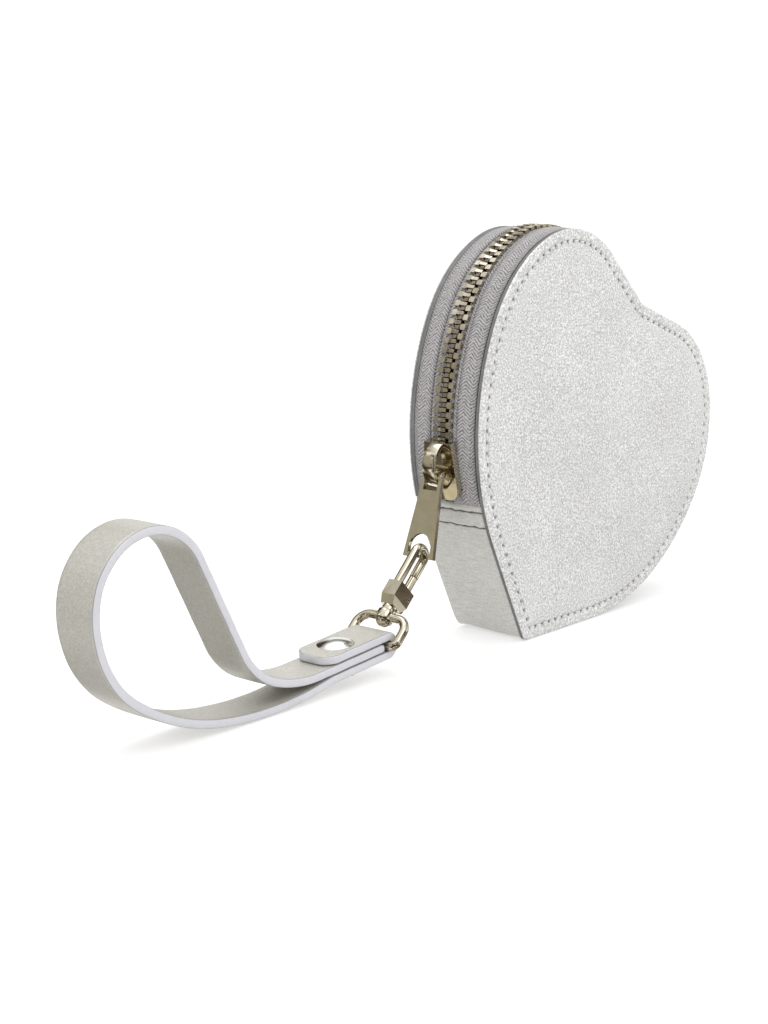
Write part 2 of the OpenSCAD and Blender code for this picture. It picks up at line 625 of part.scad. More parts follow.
// A bar of the ring between two distances across the strap
module ring_bar_at(y, z0, z1) translate([0, y, z0]) cylinder(h = z1 - z0, d = ring_d);
module ring_corner(y, z, r, turn) translate([0, y, z]) rotate([0, -90, 0]) rotate(turn)
    rotate_extrude(angle = 90) translate([r, 0]) circle(d = ring_d);
module swivel_ring() color([0.72, 0.7, 0.63]) in_clasp() translate([0, boss_y]) {
    difference() {
        union() {
            translate([0, ring_d/2]) downward() cylinder(h = ring_d, d = boss_d);
            ring_bar_at(0, ring_top_r - ring_half_w, ring_half_w - ring_top_r);
        }
        translate([0, ring_d]) downward() cylinder(h = 2*ring_d, d = post_d + 2*post_clear);
    }
    ring_bar_at(-ring_h, ring_foot_r - ring_half_w, ring_half_w - ring_foot_r);
    for (side = [0, 1]) mirror([0, 0, side]) {
        ring_corner(-ring_top_r, ring_half_w - ring_top_r, ring_top_r, 0);
        ring_corner(ring_foot_r - ring_h, ring_half_w - ring_foot_r, ring_foot_r, -90);
        translate([0, -ring_top_r, ring_half_w]) downward()
            cylinder(h = ring_h - ring_top_r - ring_foot_r, d = ring_d);
    }
}

// Strap and rivet
module wrist_strap() color([0.8, 0.79, 0.78]) difference() {
    upright() linear_extrude(strap_w, center = true) band(strap, strap_places, -strap_t/2, strap_t/2);
    in_stack() {
        translate([rivet_x, 0]) downward()
            cylinder(h = 4*stack_h, d = rivet_d + 2*rivet_gap, center = true);
        for (side = [0, 1]) mirror([0, 0, side]) translate([tab_l, -fold_gap - ring_d/2])
            downward() linear_extrude(stack_h) difference() {
                translate([-tab_corner_r, strap_w/2 - tab_corner_r]) square(tab_corner_r + over);
                translate([-tab_corner_r, strap_w/2 - tab_corner_r]) circle(tab_corner_r);
            }
    }
}
module rivet_cap() color([0.83, 0.82, 0.8]) in_stack() translate([rivet_x, -stack_h]) downward()
    ball_cap(cap_d, cap_h);
module rivet_post() color([0.7, 0.7, 0.68]) in_stack() translate([rivet_x, -stack_h]) rotate([-90, 0, 0]) {
    cylinder(h = 2*stack_h, d = rivet_d);
    translate([0, 0, 2*stack_h]) cylinder(h = rivet_back_t, d = cap_d);
}

front_panel();
rear_panel();
front_backing();
rear_backing();
front_lining();
rear_lining();
gusset_strip();
gusset_lining();
front_tape();
rear_tape();
front_teeth();
rear_teeth();
top_stops();
bottom_stop();
slider_body();
slider_crown();
zip_puller();
clasp_hook();
clasp_gate();
gate_pin();
gate_spring();
swivel_post();
swivel_ring();
wrist_strap();
rivet_cap();
rivet_post();
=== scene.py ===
"""Looks of the heart shaped purse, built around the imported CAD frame. The shape helpers work in
millimetres on the CAD's flat drawing: x to the right, y up, z toward the purse's front."""
import math

import bmesh
import bpy
import numpy as np
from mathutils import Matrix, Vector, noise
from mathutils.geometry import delaunay_2d_cdt


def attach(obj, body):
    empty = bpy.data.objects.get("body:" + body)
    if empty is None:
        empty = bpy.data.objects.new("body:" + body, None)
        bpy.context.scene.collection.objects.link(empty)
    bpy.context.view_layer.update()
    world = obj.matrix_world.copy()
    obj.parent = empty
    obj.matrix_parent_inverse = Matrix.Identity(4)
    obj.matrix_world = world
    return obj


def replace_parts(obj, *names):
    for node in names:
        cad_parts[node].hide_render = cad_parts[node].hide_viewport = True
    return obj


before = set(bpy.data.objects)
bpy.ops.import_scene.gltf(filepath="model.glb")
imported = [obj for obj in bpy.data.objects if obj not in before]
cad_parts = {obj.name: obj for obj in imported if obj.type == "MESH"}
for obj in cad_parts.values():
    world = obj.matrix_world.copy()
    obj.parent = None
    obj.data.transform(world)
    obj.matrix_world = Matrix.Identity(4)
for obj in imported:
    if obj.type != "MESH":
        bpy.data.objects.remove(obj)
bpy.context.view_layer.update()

MM = 0.001

# Sizes repeated from the CAD source, in millimetres and degrees
HEART_D, FLANK_A, TIP_R, CLEFT_R = 22.6, 31.7, 1.5, 7.3
SIDE_R, SHOULDER_R, LOBE_R = 62.5, 38.5, 27.8
SIDE_END, SHOULDER_END, LOBE_END, SEAM_HEADING = 85, 128, 191.7, 42
FLANK_L, DIP_L, MID_X = 28.9666, 18.1919, -26.0638
PANEL_T, BACKING_T, GUSSET_T, LINING_T = 1.1, 0.7, 1.0, 0.4
EDGE_PROUD, SEAM_W, LINING_GAP = 0.4, 7.0, 0.2
TAPE_TUCK, TAPE_T, TAPE_GAP, TAPE_IN = 8, 0.6, 2.6, 0.1
STRAP_W, STRAP_T, TAB_L, TAB_R, STRAP_ANGLE = 11.5, 2.1, 21.4, 4.0, 5
RING_BAR, RING_D, FOLD_GAP = (-48.4014, 7.6), 2.2, 0.1

# Heights of a panel's outer face, of its inner face and of the backing's inner face
OUT_Z = HEART_D / 2
MID_Z = OUT_Z - PANEL_T
SHELL_Z = MID_Z - BACKING_T
# Inset of the gusset strip's inner side, and radius of the strap's fold round the ring
TUCK_IN = EDGE_PROUD + GUSSET_T
FOLD_R = RING_D / 2 + FOLD_GAP + STRAP_T / 2


# Flat routes, as in the CAD: [length, 0] is straight and [radius, angle] turns left
def unit(a):
    return np.array([math.cos(math.radians(a)), math.sin(math.radians(a))])


def left(a):
    return np.array([-math.sin(math.radians(a)), math.cos(math.radians(a))])


def step_len(step):
    return step[0] if step[1] == 0 else step[0] * math.radians(abs(step[1]))


def step_end(p, heading, step):
    if step[1] == 0:
        return p + step[0] * unit(heading)
    side = 1 if step[1] > 0 else -1
    return p + side * step[0] * (left(heading) - left(heading + step[1]))


def route_len(route):
    return sum(step_len(step) for step in route)


def walk(route, p, heading, s):
    """Point and direction at a distance along a route."""
    for i, step in enumerate(route):
        length = step_len(step)
        if s <= length or i == len(route) - 1:
            share = s / length
            part = [step[0] * share, 0] if step[1] == 0 else [step[0], step[1] * share]
            end = p if share == 0 else step_end(p, heading, part)
            return end, heading + step[1] * share
        p, heading, s = step_end(p, heading, step), heading + step[1], s - length


OUTLINE = [[TIP_R, FLANK_A], [FLANK_L, 0], [SIDE_R, SIDE_END - FLANK_A],
           [SHOULDER_R, SHOULDER_END - SIDE_END], [LOBE_R, LOBE_END - SHOULDER_END], [DIP_L, 0],
           [CLEFT_R, 180 - LOBE_END]]
HALF_L = route_len(OUTLINE)
SEAM_S = step_len(OUTLINE[0]) + FLANK_L + SIDE_R * math.radians(SEAM_HEADING - FLANK_A)
TUCK_S = SEAM_S - TAPE_TUCK


def row_frame(flat):
    """Flat drawing points (x, y, z) in millimetres to the row frame in metres."""
    flat = np.asarray(flat, float)
    return np.stack([flat[..., 0] - MID_X, -flat[..., 2], flat[..., 1]], -1) * MM


def stood(p):
    """Heart drawing to flat drawing: the heart leans onto its right flank."""
    c, s = math.cos(math.radians(-FLANK_A)), math.sin(math.radians(-FLANK_A))
    x, y = p[..., 0], p[..., 1] - TIP_R
    return np.stack([x * c - y * s, x * s + y * c + TIP_R], -1)


class Track:
    """Places along the heart's outline: positive distances run up the right half from the point,
    negative ones up the left half."""

    def __init__(self, stations):
        self.s = np.asarray(stations, float)
        points, inward = [], []
        for s in self.s:
            p, heading = walk(OUTLINE, np.zeros(2), 0, abs(s))
            n = left(heading)
            mirror = -1 if s < 0 else 1
            points.append([mirror * p[0], p[1]])
            inward.append([mirror * n[0], n[1]])
        self.p, self.n = np.array(points), np.array(inward)

    def inset(self, depth):
        """Heart drawing points at a distance inward, one for each station. Past the point's own
        radius the two halves meet in a corner."""
        depth = np.broadcast_to(np.asarray(depth, float), self.s.shape)
        q = self.p + self.n * depth[:, None]
        apex = TIP_R + (depth - TIP_R) / math.cos(math.radians(FLANK_A))
        over = q[:, 0] * np.where(self.s < 0, -1, 1) <= 0
        crossed = (depth >= TIP_R) & over & (np.abs(self.s) < HALF_L / 2)
        q[crossed] = np.stack([np.zeros(crossed.sum()), apex[crossed]], -1)
        return q

    def place(self, depth, z):
        """Row frame points at an inset and a height, one for each station."""
        q = stood(self.inset(depth))
        z = np.broadcast_to(np.asarray(z, float), self.s.shape)
        return row_frame(np.concatenate([q, z[:, None]], -1))


def loop_track(step):
    """A track round the whole outline, in even steps."""
    n = int(round(2 * HALF_L / step))
    return Track(-HALF_L + 2 * HALF_L * (np.arange(n) + 0.5) / n)


def gauss(x, width):
    return np.exp(-(np.asarray(x) / width) ** 2)


def edge_drop(distance, radius):
    """How far a rounded edge has dropped at a distance from where the piece ends."""
    back = radius - np.minimum(distance, radius)
    return radius - np.sqrt(np.maximum(radius ** 2 - back ** 2, 0))


def wobble(x, y, scale, seed):
    """Smooth noise from -1 to 1 at flat places."""
    places = zip(np.ravel(x), np.ravel(y))
    return np.array([noise.noise(Vector((a / scale, b / scale, seed))) for a, b in places])


# Meshes. Welding and thin faces are in metres, places and flat triangles in millimetres, and the
# lattice's values are shares of its spacing
WELD, THIN_EDGE, SAME_PLACE, FLAT_TOLERANCE, TINY = 1e-6, 1e-7, 1e-5, 1e-7, 1e-9
LATTICE_ROW, LATTICE_CLEAR = 0.866, 0.6
INSIDE_ONLY = 1


def new_object(name, verts, faces, mats, face_mat=None, flow=None, painted_shade=None, merge=True):
    """A smooth mesh object. flow holds each point's place along the material, and painted_shade how
    much shade is painted into its colour."""
    mesh = bpy.data.meshes.new(name)
    mesh.from_pydata([tuple(v) for v in verts], [], [tuple(f) for f in faces])
    for m in mats:
        mesh.materials.append(m)
    if face_mat is not None:
        mesh.polygons.foreach_set("material_index", np.asarray(face_mat, np.int32))
    if flow is not None:
        layer = mesh.attributes.new("flow", "FLOAT_VECTOR", "POINT")
        layer.data.foreach_set("vector", np.asarray(flow, np.float32).ravel())
    if painted_shade is not None:
        layer = mesh.attributes.new("painted_shade", "FLOAT", "POINT")
        layer.data.foreach_set("value", np.asarray(painted_shade, np.float32))
    bm = bmesh.new()
    bm.from_mesh(mesh)
    if merge:
        bmesh.ops.remove_doubles(bm, verts=bm.verts, dist=WELD)
        bmesh.ops.dissolve_degenerate(bm, dist=THIN_EDGE, edges=bm.edges)
    bmesh.ops.recalc_face_normals(bm, faces=bm.faces)
    for f in bm.faces:
        f.smooth = True
    bm.to_mesh(mesh)
    bm.free()
    return link(bpy.data.objects.new(name, mesh))


def link(obj):
    bpy.context.scene.collection.objects.link(obj)
    return obj


def grid_faces(rows, cols, wrap_rows=False, wrap_cols=False, base=0):
    faces = []
    for i in range(rows if wrap_rows else rows - 1):
        for j in range(cols if wrap_cols else cols - 1):
            a, b = i * cols + j, i * cols + (j + 1) % cols
            c, d = ((i + 1) % rows) * cols + (j + 1) % cols, ((i + 1) % rows) * cols + j
            faces.append((base + a, base + b, base + c, base + d))
    return faces


def fill(loop, spacing):
    """Triangles inside a closed flat loop, with inner points on an even lattice where spacing
    isn't zero."""
    loop = np.asarray(loop)
    pts = [Vector(p) for p in loop]
    n = len(pts)
    if spacing:
        lo, hi = loop.min(0), loop.max(0)
        nx, ny = loop[:, 0], loop[:, 1]
        px, py = np.roll(nx, -1), np.roll(ny, -1)
        for row, y in enumerate(np.arange(lo[1], hi[1], spacing * LATTICE_ROW)):
            for x in np.arange(lo[0] + (row % 2) * spacing / 2, hi[0], spacing):
                across = (ny > y) != (py > y)
                cut = nx + (y - ny) * (px - nx) / np.where(py == ny, TINY, py - ny)
                near = np.min((nx - x) ** 2 + (ny - y) ** 2)
                if (np.sum(across & (x < cut)) % 2) and near > (LATTICE_CLEAR * spacing) ** 2:
                    pts.append(Vector((x, y)))
    out = delaunay_2d_cdt(pts, [], [list(range(n))], INSIDE_ONLY, FLAT_TOLERANCE)
    return np.array([list(v) for v in out[0]]), [tuple(f) for f in out[2]], n


# Materials
def material(name):
    m = bpy.data.materials.new(name)
    m.use_nodes = True
    nt = m.node_tree
    return m, nt, nt.nodes["Principled BSDF"]


def node(nt, kind, **inputs):
    """A new node. A key p_x sets the property x, i0 is the first input, and any other key is an
    input's name. A value that is a socket is linked."""
    n = nt.nodes.new(kind)
    for k, v in inputs.items():
        if k.startswith("p_"):
            setattr(n, k[2:], v)
        else:
            key = int(k[1:]) if k[0] == "i" and k[1:].isdigit() else k.replace("_", " ")
            if isinstance(v, bpy.types.NodeSocket):
                nt.links.new(v, n.inputs[key])
            else:
                n.inputs[key].default_value = v
    return n


def coords(nt):
    return node(nt, "ShaderNodeTexCoord").outputs["Object"]


def point_value(nt, name, output="Fac"):
    return node(nt, "ShaderNodeAttribute", p_attribute_name=name).outputs[output]


def texture(nt, at, scale, detail, roughness=0.5, output="Fac"):
    """Noise, with its scale in features a metre."""
    return node(nt, "ShaderNodeTexNoise", Vector=at, Scale=scale, Detail=detail,
                Roughness=roughness).outputs[output]


def drawn_out(nt, at, scale):
    return node(nt, "ShaderNodeMapping", Vector=at, Scale=scale).outputs[0]


def maths(nt, op, a, b=0.0):
    return node(nt, "ShaderNodeMath", p_operation=op, i0=a, i1=b).outputs[0]


def times(nt, a, b):
    return maths(nt, "MULTIPLY", a, b)


def plus(nt, a, b):
    return maths(nt, "ADD", a, b)


def half_sum(nt, a, b):
    return times(nt, plus(nt, a, b), 0.5)


def ramp(nt, fac, *stops):
    r = nt.nodes.new("ShaderNodeValToRGB")
    while len(r.color_ramp.elements) < len(stops):
        r.color_ramp.elements.new(0.5)
    for e, (pos, col) in zip(r.color_ramp.elements, stops):
        e.position = pos
        e.color = (*col, 1) if hasattr(col, "__len__") else (col, col, col, 1)
    nt.links.new(fac, r.inputs[0])
    return r.outputs[0]


def mix(nt, fac, a, b):
    """One colour into another. Inputs 6 and 7 are the mix node's colours."""
    n = nt.nodes.new("ShaderNodeMix")
    n.data_type = "RGBA"
    for i, v in ((0, fac), (6, a), (7, b)):
        if isinstance(v, bpy.types.NodeSocket):
            nt.links.new(v, n.inputs[i])
        elif i:
            n.inputs[i].default_value = (*v, 1)
        else:
            n.inputs[i].default_value = v
    return n.outputs[2]


def scaled(colour, share):
    return tuple(min(1, c * share) for c in colour)


def surface(nt, p, colour, roughness, height, depth):
    """Link a colour, a roughness where it varies, and a bump whose depth is in millimetres."""
    nt.links.new(colour, p.inputs["Base Color"])
    if roughness is not None:
        nt.links.new(roughness, p.inputs["Roughness"])
    lifted = node(nt, "ShaderNodeBump", Height=height, Distance=depth * MM, Strength=1.0)
    nt.links.new(lifted.outputs[0], p.inputs["Normal"])


# Scales of the leather's warp, pebbles, fine bump, flecks and clouds, and of its brushed creases
# along, across and through a strip. The warp's reach is in metres, and the last two numbers are
# the share of the colour left where shade is painted
WARP, PEBBLE, FINE, FLECK, CLOUD = 900.0, 2000.0, 2600.0, 2100.0, 55.0
CREASES = (2600.0, 260.0, 1.0)
WARP_REACH = 0.0004
LEATHER_PAINTED_SHADE, TAPE_PAINTED_SHADE = 0.10, 0.15


def leather(name, base, dark, light, metal=0.12, rough=0.42, depth=0.05, cloud=0.2, brush=0.0):
    """Metallic leather: a pebbled height, fine bright and dark flecks, broad clouds, and for
    brush fine creases that run across a strip, coloured by their height as painted shade in
    their low parts and painted light on their ridges."""
    m, nt, p = material(name)
    at = coords(nt)
    warp = texture(nt, at, WARP, 2.0, output="Color")
    place = node(nt, "ShaderNodeVectorMath", p_operation="MULTIPLY_ADD", i0=warp,
                 i1=(WARP_REACH,) * 3, i2=at).outputs[0]
    cells = node(nt, "ShaderNodeTexVoronoi", p_feature="SMOOTH_F1", Vector=place,
                 Scale=PEBBLE).outputs["Distance"]
    fine = texture(nt, at, FINE, 3.0, 0.6)
    fleck = texture(nt, at, FLECK, 2.0, 0.6)
    clouds = texture(nt, at, CLOUD, 4.0, 0.55)
    height = plus(nt, times(nt, maths(nt, "SUBTRACT", 1.0, cells), 0.7), times(nt, fine, 0.5))
    tone = ramp(nt, fleck, (0.34, dark), (0.50, base), (0.66, light))
    cloudy = mix(nt, cloud, tone, ramp(nt, clouds, (0.3, dark), (0.7, light)))
    if brush:
        drawn = drawn_out(nt, point_value(nt, "flow", "Vector"), CREASES)
        creases = texture(nt, drawn, 1.0, 3.0, 0.6)
        # Painted shade in the creases' low parts and painted light on their ridges, from the noise
        # that lifts them
        cloudy = mix(nt, brush, cloudy, ramp(nt, creases, (0.30, dark), (0.68, light)))
        height = plus(nt, height, times(nt, creases, 1.2))
    # Each point's painted shade, from grooves, needle holes and sewn rows, darkens the colour
    colour = mix(nt, point_value(nt, "painted_shade"), cloudy, scaled(dark, LEATHER_PAINTED_SHADE))
    p.inputs["Metallic"].default_value = metal
    shine = ramp(nt, fine, (0.3, rough - 0.08), (0.7, rough + 0.1))
    surface(nt, p, colour, shine, height, depth)
    return m


def paint(name, base, rough=0.5, depth=0.05, spread=0.08):
    """Edge paint: slightly uneven and satin."""
    m, nt, p = material(name)
    at = coords(nt)
    grit = texture(nt, at, 900.0, 4.0, 0.6)
    drift = texture(nt, at, 140.0, 2.0)
    colour = ramp(nt, half_sum(nt, grit, drift), (0.35, scaled(base, 1 - spread)),
                  (0.65, scaled(base, 1 + spread)))
    shine = ramp(nt, grit, (0.3, rough - 0.08), (0.7, rough + 0.08))
    surface(nt, p, colour, shine, grit, depth)
    return m


# Width of a tape's yarn and depth of a thread's plies in millimetres, and how far noise shifts
# the twill lines, in radians
YARN, PLY_DEPTH, TWILL_DRIFT = 0.4, 0.05, 10.0


def woven(name, base, pitch=0.8, column=1.6, depth=0.12, contrast=0.3):
    """Herringbone tape: twill lines that slope one way and then the other in columns along the
    tape. The colour follows the weave's height: painted shade in the low yarn and painted
    light on the raised yarn."""
    m, nt, p = material(name)
    xyz = node(nt, "ShaderNodeSeparateXYZ", Vector=point_value(nt, "flow", "Vector"))
    along, across = xyz.outputs[0], xyz.outputs[1]
    slope = maths(nt, "PINGPONG", maths(nt, "ABSOLUTE", across), column * MM)
    at = coords(nt)
    drift = texture(nt, at, 520.0, 3.0, 0.6)
    line = times(nt, plus(nt, along, times(nt, slope, 0.8)), 2 * math.pi / (pitch * MM))
    line = plus(nt, line, times(nt, drift, TWILL_DRIFT))
    wave = half_sum(nt, maths(nt, "SINE", line), 1.0)
    yarn = half_sum(nt, maths(nt, "SINE", times(nt, across, 2 * math.pi / (YARN * MM))), 1.0)
    fuzz = texture(nt, at, 1900.0, 3.0, 0.7)
    height = plus(nt, times(nt, wave, 0.30), plus(nt, times(nt, yarn, 0.14), times(nt, fuzz, 0.72)))
    low, high = scaled(base, 1 - contrast), scaled(base, 1 + contrast)
    # The weave's colour follows its height: painted shade where it is low, painted light where it
    # is raised
    weave = ramp(nt, height, (0.34, low), (0.56, base), (0.80, high))
    # Each point's painted shade, beside the bead, the teeth and the panel's edge, darkens the
    # colour
    colour = mix(nt, point_value(nt, "painted_shade"), weave, scaled(low, TAPE_PAINTED_SHADE))
    p.inputs["Roughness"].default_value = 0.75
    p.inputs["Sheen Weight"].default_value = 0.25
    p.inputs["Sheen Roughness"].default_value = 0.4
    surface(nt, p, colour, None, height, depth)
    return m


def metal(name, base, rough=0.2, spread=0.12, scratch=0.012, worn=0.88):
    """Plated metal: faint smudges, hairline scratches and a slightly uneven tone."""
    m, nt, p = material(name)
    at = coords(nt)
    smudge = texture(nt, at, 320.0, 4.0, 0.6)
    hair = texture(nt, drawn_out(nt, at, (200.0, 200.0, 2600.0)), 1.0, 2.0)
    p.inputs["Metallic"].default_value = 1.0
    colour = ramp(nt, smudge, (0.3, scaled(base, worn)), (0.65, base))
    shine = ramp(nt, smudge, (0.3, rough + spread), (0.7, rough))
    surface(nt, p, colour, shine, hair, scratch)
    return m


def thread(name, base):
    """Twisted sewing thread: fine diagonal plies, with painted shade in their low parts."""
    m, nt, p = material(name)
    at = coords(nt)
    ply = node(nt, "ShaderNodeTexWave", Vector=at, Scale=900.0, Distortion=1.5,
               Detail=1.0).outputs["Fac"]
    both = half_sum(nt, ply, texture(nt, at, 3000.0, 2.0))
    p.inputs["Roughness"].default_value = 0.6
    p.inputs["Sheen Weight"].default_value = 0.2
    # Painted shade: the colour darkens where the plies' height is low
    colour = ramp(nt, both, (0.2, scaled(base, 0.7)), (0.75, base))
    surface(nt, p, colour, None, both, PLY_DEPTH)
    return m


SILVER = leather("silver_leather", (0.61, 0.61, 0.60), (0.38, 0.38, 0.375), (0.90, 0.90, 0.885),
                 cloud=0.12)
GUSSET = leather("gusset_leather", (0.54, 0.535, 0.505), (0.42, 0.415, 0.385),
                 (0.70, 0.695, 0.66), depth=0.03, brush=0.5)
STRAP_FACE = leather("strap_leather", (0.51, 0.50, 0.45), (0.44, 0.43, 0.38), (0.62, 0.61, 0.56),
                     metal=0.35, rough=0.4, depth=0.02, brush=0.2)
EDGE = paint("edge_paint", (0.17, 0.17, 0.17), spread=0.2)
STRAP_EDGE = paint("strap_edge_paint", (0.56, 0.56, 0.59), rough=0.45, depth=0.03, spread=0.04)
STRAP_CORNER = paint("strap_corner_paint", (0.30, 0.30, 0.325), rough=0.5)
TAPE = woven("zip_tape", (0.29, 0.278, 0.28), pitch=0.85, column=2.0, depth=0.16, contrast=0.7)
CLOTH = woven("lining_cloth", (0.32, 0.30, 0.32), pitch=0.5, column=0.5, depth=0.06)
TEETH = metal("zip_teeth", (0.66, 0.60, 0.48), rough=0.2, spread=0.08, scratch=0.004, worn=0.65)
PLATED = metal("plated_hardware", (0.66, 0.605, 0.475), rough=0.10, spread=0.05, scratch=0.0015)
RIVET = metal("rivet_metal", (0.84, 0.83, 0.81), rough=0.12, spread=0.05, scratch=0.0015)
THREAD = thread("silver_thread", (0.82, 0.82, 0.82))
# The gusset's thread, coloured near black as painted shade of its sunken sewn rows
SHADED_THREAD = thread("shaded_gusset_thread", (0.13, 0.13, 0.125))


# Panels, backings and linings. DEEP stands for an inset far from every edge
DEEP = 99.0


def plate(name, profile, mats, z_sign, relief=None, step=0.7, spacing=2.0, covered=0, flow=False):
    """A closed plate in the heart's outline. profile lists (inset, height, material) from the
    middle of the inner face round the edge to the outer face, and relief gives the outer face's
    lift and its painted shade. covered is the inset of the edge where the gusset covers it."""
    track = loop_track(step)
    n, rows = len(track.s), len(profile)
    middle = (profile[0][1] + profile[-1][1]) / 2

    def raised(q, z):
        return row_frame(np.concatenate([stood(q), (z_sign * z)[:, None]], -1))

    verts, dark, flat = [], [], []
    for inset, z, _ in profile:
        depth = np.full(n, inset)
        if covered:
            under = np.where(np.abs(track.s) < SEAM_S, covered + 0.1 * inset, -1)
            depth = np.maximum(inset, under)
        q = track.inset(depth)
        lift = shade = np.zeros(n)
        if relief and z > middle:
            lift, shade = relief(q, depth, True)
        verts += list(raised(q, z + lift))
        dark += list(shade)
        flat.append(q)
    faces = grid_faces(rows, n, wrap_cols=True)
    face_mat = [mat for _, _, mat in profile[:-1] for _ in range(n)]
    for ring, lattice in ((0, 0), (rows - 1, spacing)):
        inset, z, mat = profile[ring]
        q = flat[ring]
        keep = [i for i in range(n) if i == 0 or np.linalg.norm(q[i] - q[i - 1]) > SAME_PLACE]
        pts, tris, count = fill(q[keep], lattice)
        lift = np.zeros(len(pts))
        if ring and relief:
            lift = relief(pts, np.full(len(pts), DEEP), False)[0]
            lift[:count] = relief(q[keep], np.full(count, inset), False)[0]
        base = len(verts)
        verts += list(raised(pts, z + lift))
        dark += [0.0] * len(pts)
        faces += [tuple(base + i for i in t) for t in tris]
        face_mat += [mat] * len(tris)
    co = np.array(verts)
    flows = np.stack([co[:, 0], co[:, 2], co[:, 1]], -1) if flow else None
    return new_object(name, verts, faces, mats, face_mat, flow=flows, painted_shade=dark)


# The panels' sewn row: its inset, and the stitches' pitch, length and thread radius
STITCH_IN, STITCH_PITCH, STITCH_L, THREAD_R = 3.0, 2.85, 1.9, 0.26
# How far the row stays from the cleft, and how deep the thread's middle lies under the face
ROW_END, ROW_SUNK = 3, 0.16
# Depth and half width of the row's groove, and the darkness and half width of its shade
GROOVE, GROOVE_SHADE = (0.32, 0.46), (0.12, 0.30)
# Depth of a needle hole, darkness of its shade, and the squares of their radii
HOLE, HOLE_SHADE = (0.34, 0.16), (0.95, 0.11)
# The face's soft rise inside the row, and its unevenness: height, and reach or scale
RISE, UNEVEN = (0.22, 2.2), (0.06, 13.0)
# Inset where the unevenness starts and how far it takes to be full, and a needle hole's reach
CALM_IN, CALM_REACH, HOLE_REACH = 1.0, 4.0, 1.0


def stitch_places(inset, pitch):
    """Evenly spaced stitch middles round the heart, as distances along the outline. None lies
    where the row turns its corner at the point."""
    n = int(round(2 * (HALF_L - 2 * ROW_END) / pitch))
    places = np.linspace(-HALF_L + ROW_END, HALF_L - ROW_END, n)
    corner = step_len(OUTLINE[0]) + (inset - TIP_R) * math.tan(math.radians(FLANK_A))
    return places[np.abs(places) > corner + STITCH_L / 2]


STITCHES = stitch_places(STITCH_IN, STITCH_PITCH)
HOLES = Track([s + side * STITCH_PITCH / 2 for s in STITCHES for side in (-1, 1)]).inset(STITCH_IN)


def panel_relief(q, inset, edge):
    """Lift of a panel's face, from the sewn groove and its needle holes, a soft rise inside it
    and a faint unevenness, and the shade painted into the groove and the holes."""
    off = inset - STITCH_IN
    lift = RISE[0] * (1 - np.exp(-np.maximum(off, 0) / RISE[1])) - GROOVE[0] * gauss(off, GROOVE[1])
    # Painted shade in the sewn groove and in the needle holes
    shade = GROOVE_SHADE[0] * gauss(off, GROOVE_SHADE[1])
    if edge and np.abs(off).min() < HOLE_REACH:
        d2 = ((q[:, None, :] - HOLES[None, :, :]) ** 2).sum(-1).min(1)
        lift = lift - HOLE[0] * np.exp(-d2 / HOLE[1])
        shade = np.clip(shade + HOLE_SHADE[0] * np.exp(-d2 / HOLE_SHADE[1]), 0, 1)
    uneven = UNEVEN[0] * wobble(q[:, 0], q[:, 1], UNEVEN[1], seed=3.0)
    return lift + uneven * np.clip((inset - CALM_IN) / CALM_REACH, 0, 1), shade


# Profiles of (inset, height, material), from the inner face round the edge to the outer face
FACE_IN = 6.5
PANEL_PROFILE = [(FACE_IN, MID_Z, 1), (0.25, MID_Z, 1), (0.02, MID_Z + 0.02, 1),
                 (-0.05, MID_Z + 0.25, 1), (-0.04, MID_Z + 0.5, 0), (0.03, OUT_Z - 0.30, 0),
                 (0.13, OUT_Z - 0.13, 0), (0.30, OUT_Z - 0.03, 0)]
PANEL_PROFILE += [(inset, OUT_Z, 0) for inset in (0.55, 0.9, 1.4)]
PANEL_PROFILE += [(STITCH_IN + off, OUT_Z, 0)
                  for off in (-0.9, -0.65, -0.45, -0.3, -0.15, 0, 0.15, 0.3, 0.45, 0.65, 0.9)]
PANEL_PROFILE += [(inset, OUT_Z, 0) for inset in (4.4, 4.8, 5.3, 6.0, 6.8)]
BACKING_PROFILE = [(FACE_IN, SHELL_Z, 0), (0.5, SHELL_Z, 0), (0.22, SHELL_Z + 0.05, 0),
                   (0.06, SHELL_Z + 0.2, 0), (0.0, SHELL_Z + 0.4, 0), (0.02, MID_Z - 0.02, 0),
                   (0.25, MID_Z, 0), (FACE_IN, MID_Z, 0)]
LINING_IN = SEAM_W + LINING_GAP
LINING_PROFILE = [(LINING_IN + 1, SHELL_Z - LINING_T, 0), (LINING_IN, SHELL_Z - LINING_T + 0.1, 0),
                  (LINING_IN, SHELL_Z - 0.1, 0), (LINING_IN + 1, SHELL_Z, 0)]

# A stitch: its rings and sides, how high it arches and how deep its ends lie, and the shares of
# the thread's radius at its ends and of its width in its height
RINGS, SIDES, ARCH, DIP, THIN_END, FLATTENED = 9, 8, 0.32, 0.34, 0.55, 0.8


def stitches(name, places, frame_at, lift, mat):
    """Separate stitches: each a short thread that rises from one needle hole and dips into the
    next. frame_at gives a place's point, its direction along the row and the way out."""
    verts, faces = [], []
    for s in places:
        base = len(verts)
        for k in range(RINGS):
            t = k / (RINGS - 1)
            centre, along, out = frame_at(s + (t - 0.5) * STITCH_L)
            arch = math.sin(math.pi * t)
            r = THREAD_R * (THIN_END + (1 - THIN_END) * arch ** 0.5)
            side = np.cross(out, along)
            mid = centre + out * (lift + ARCH * arch ** 0.6 - DIP)
            for j in range(SIDES):
                a = 2 * math.pi * j / SIDES
                verts.append(mid + r * (math.cos(a) * side + FLATTENED * math.sin(a) * out))
        faces += grid_faces(RINGS, SIDES, wrap_cols=True, base=base)
        faces.append(tuple(base + j for j in range(SIDES)))
        faces.append(tuple(base + (RINGS - 1) * SIDES + j for j in range(SIDES)))
    return new_object(name, row_frame(verts), faces, [mat], merge=False)


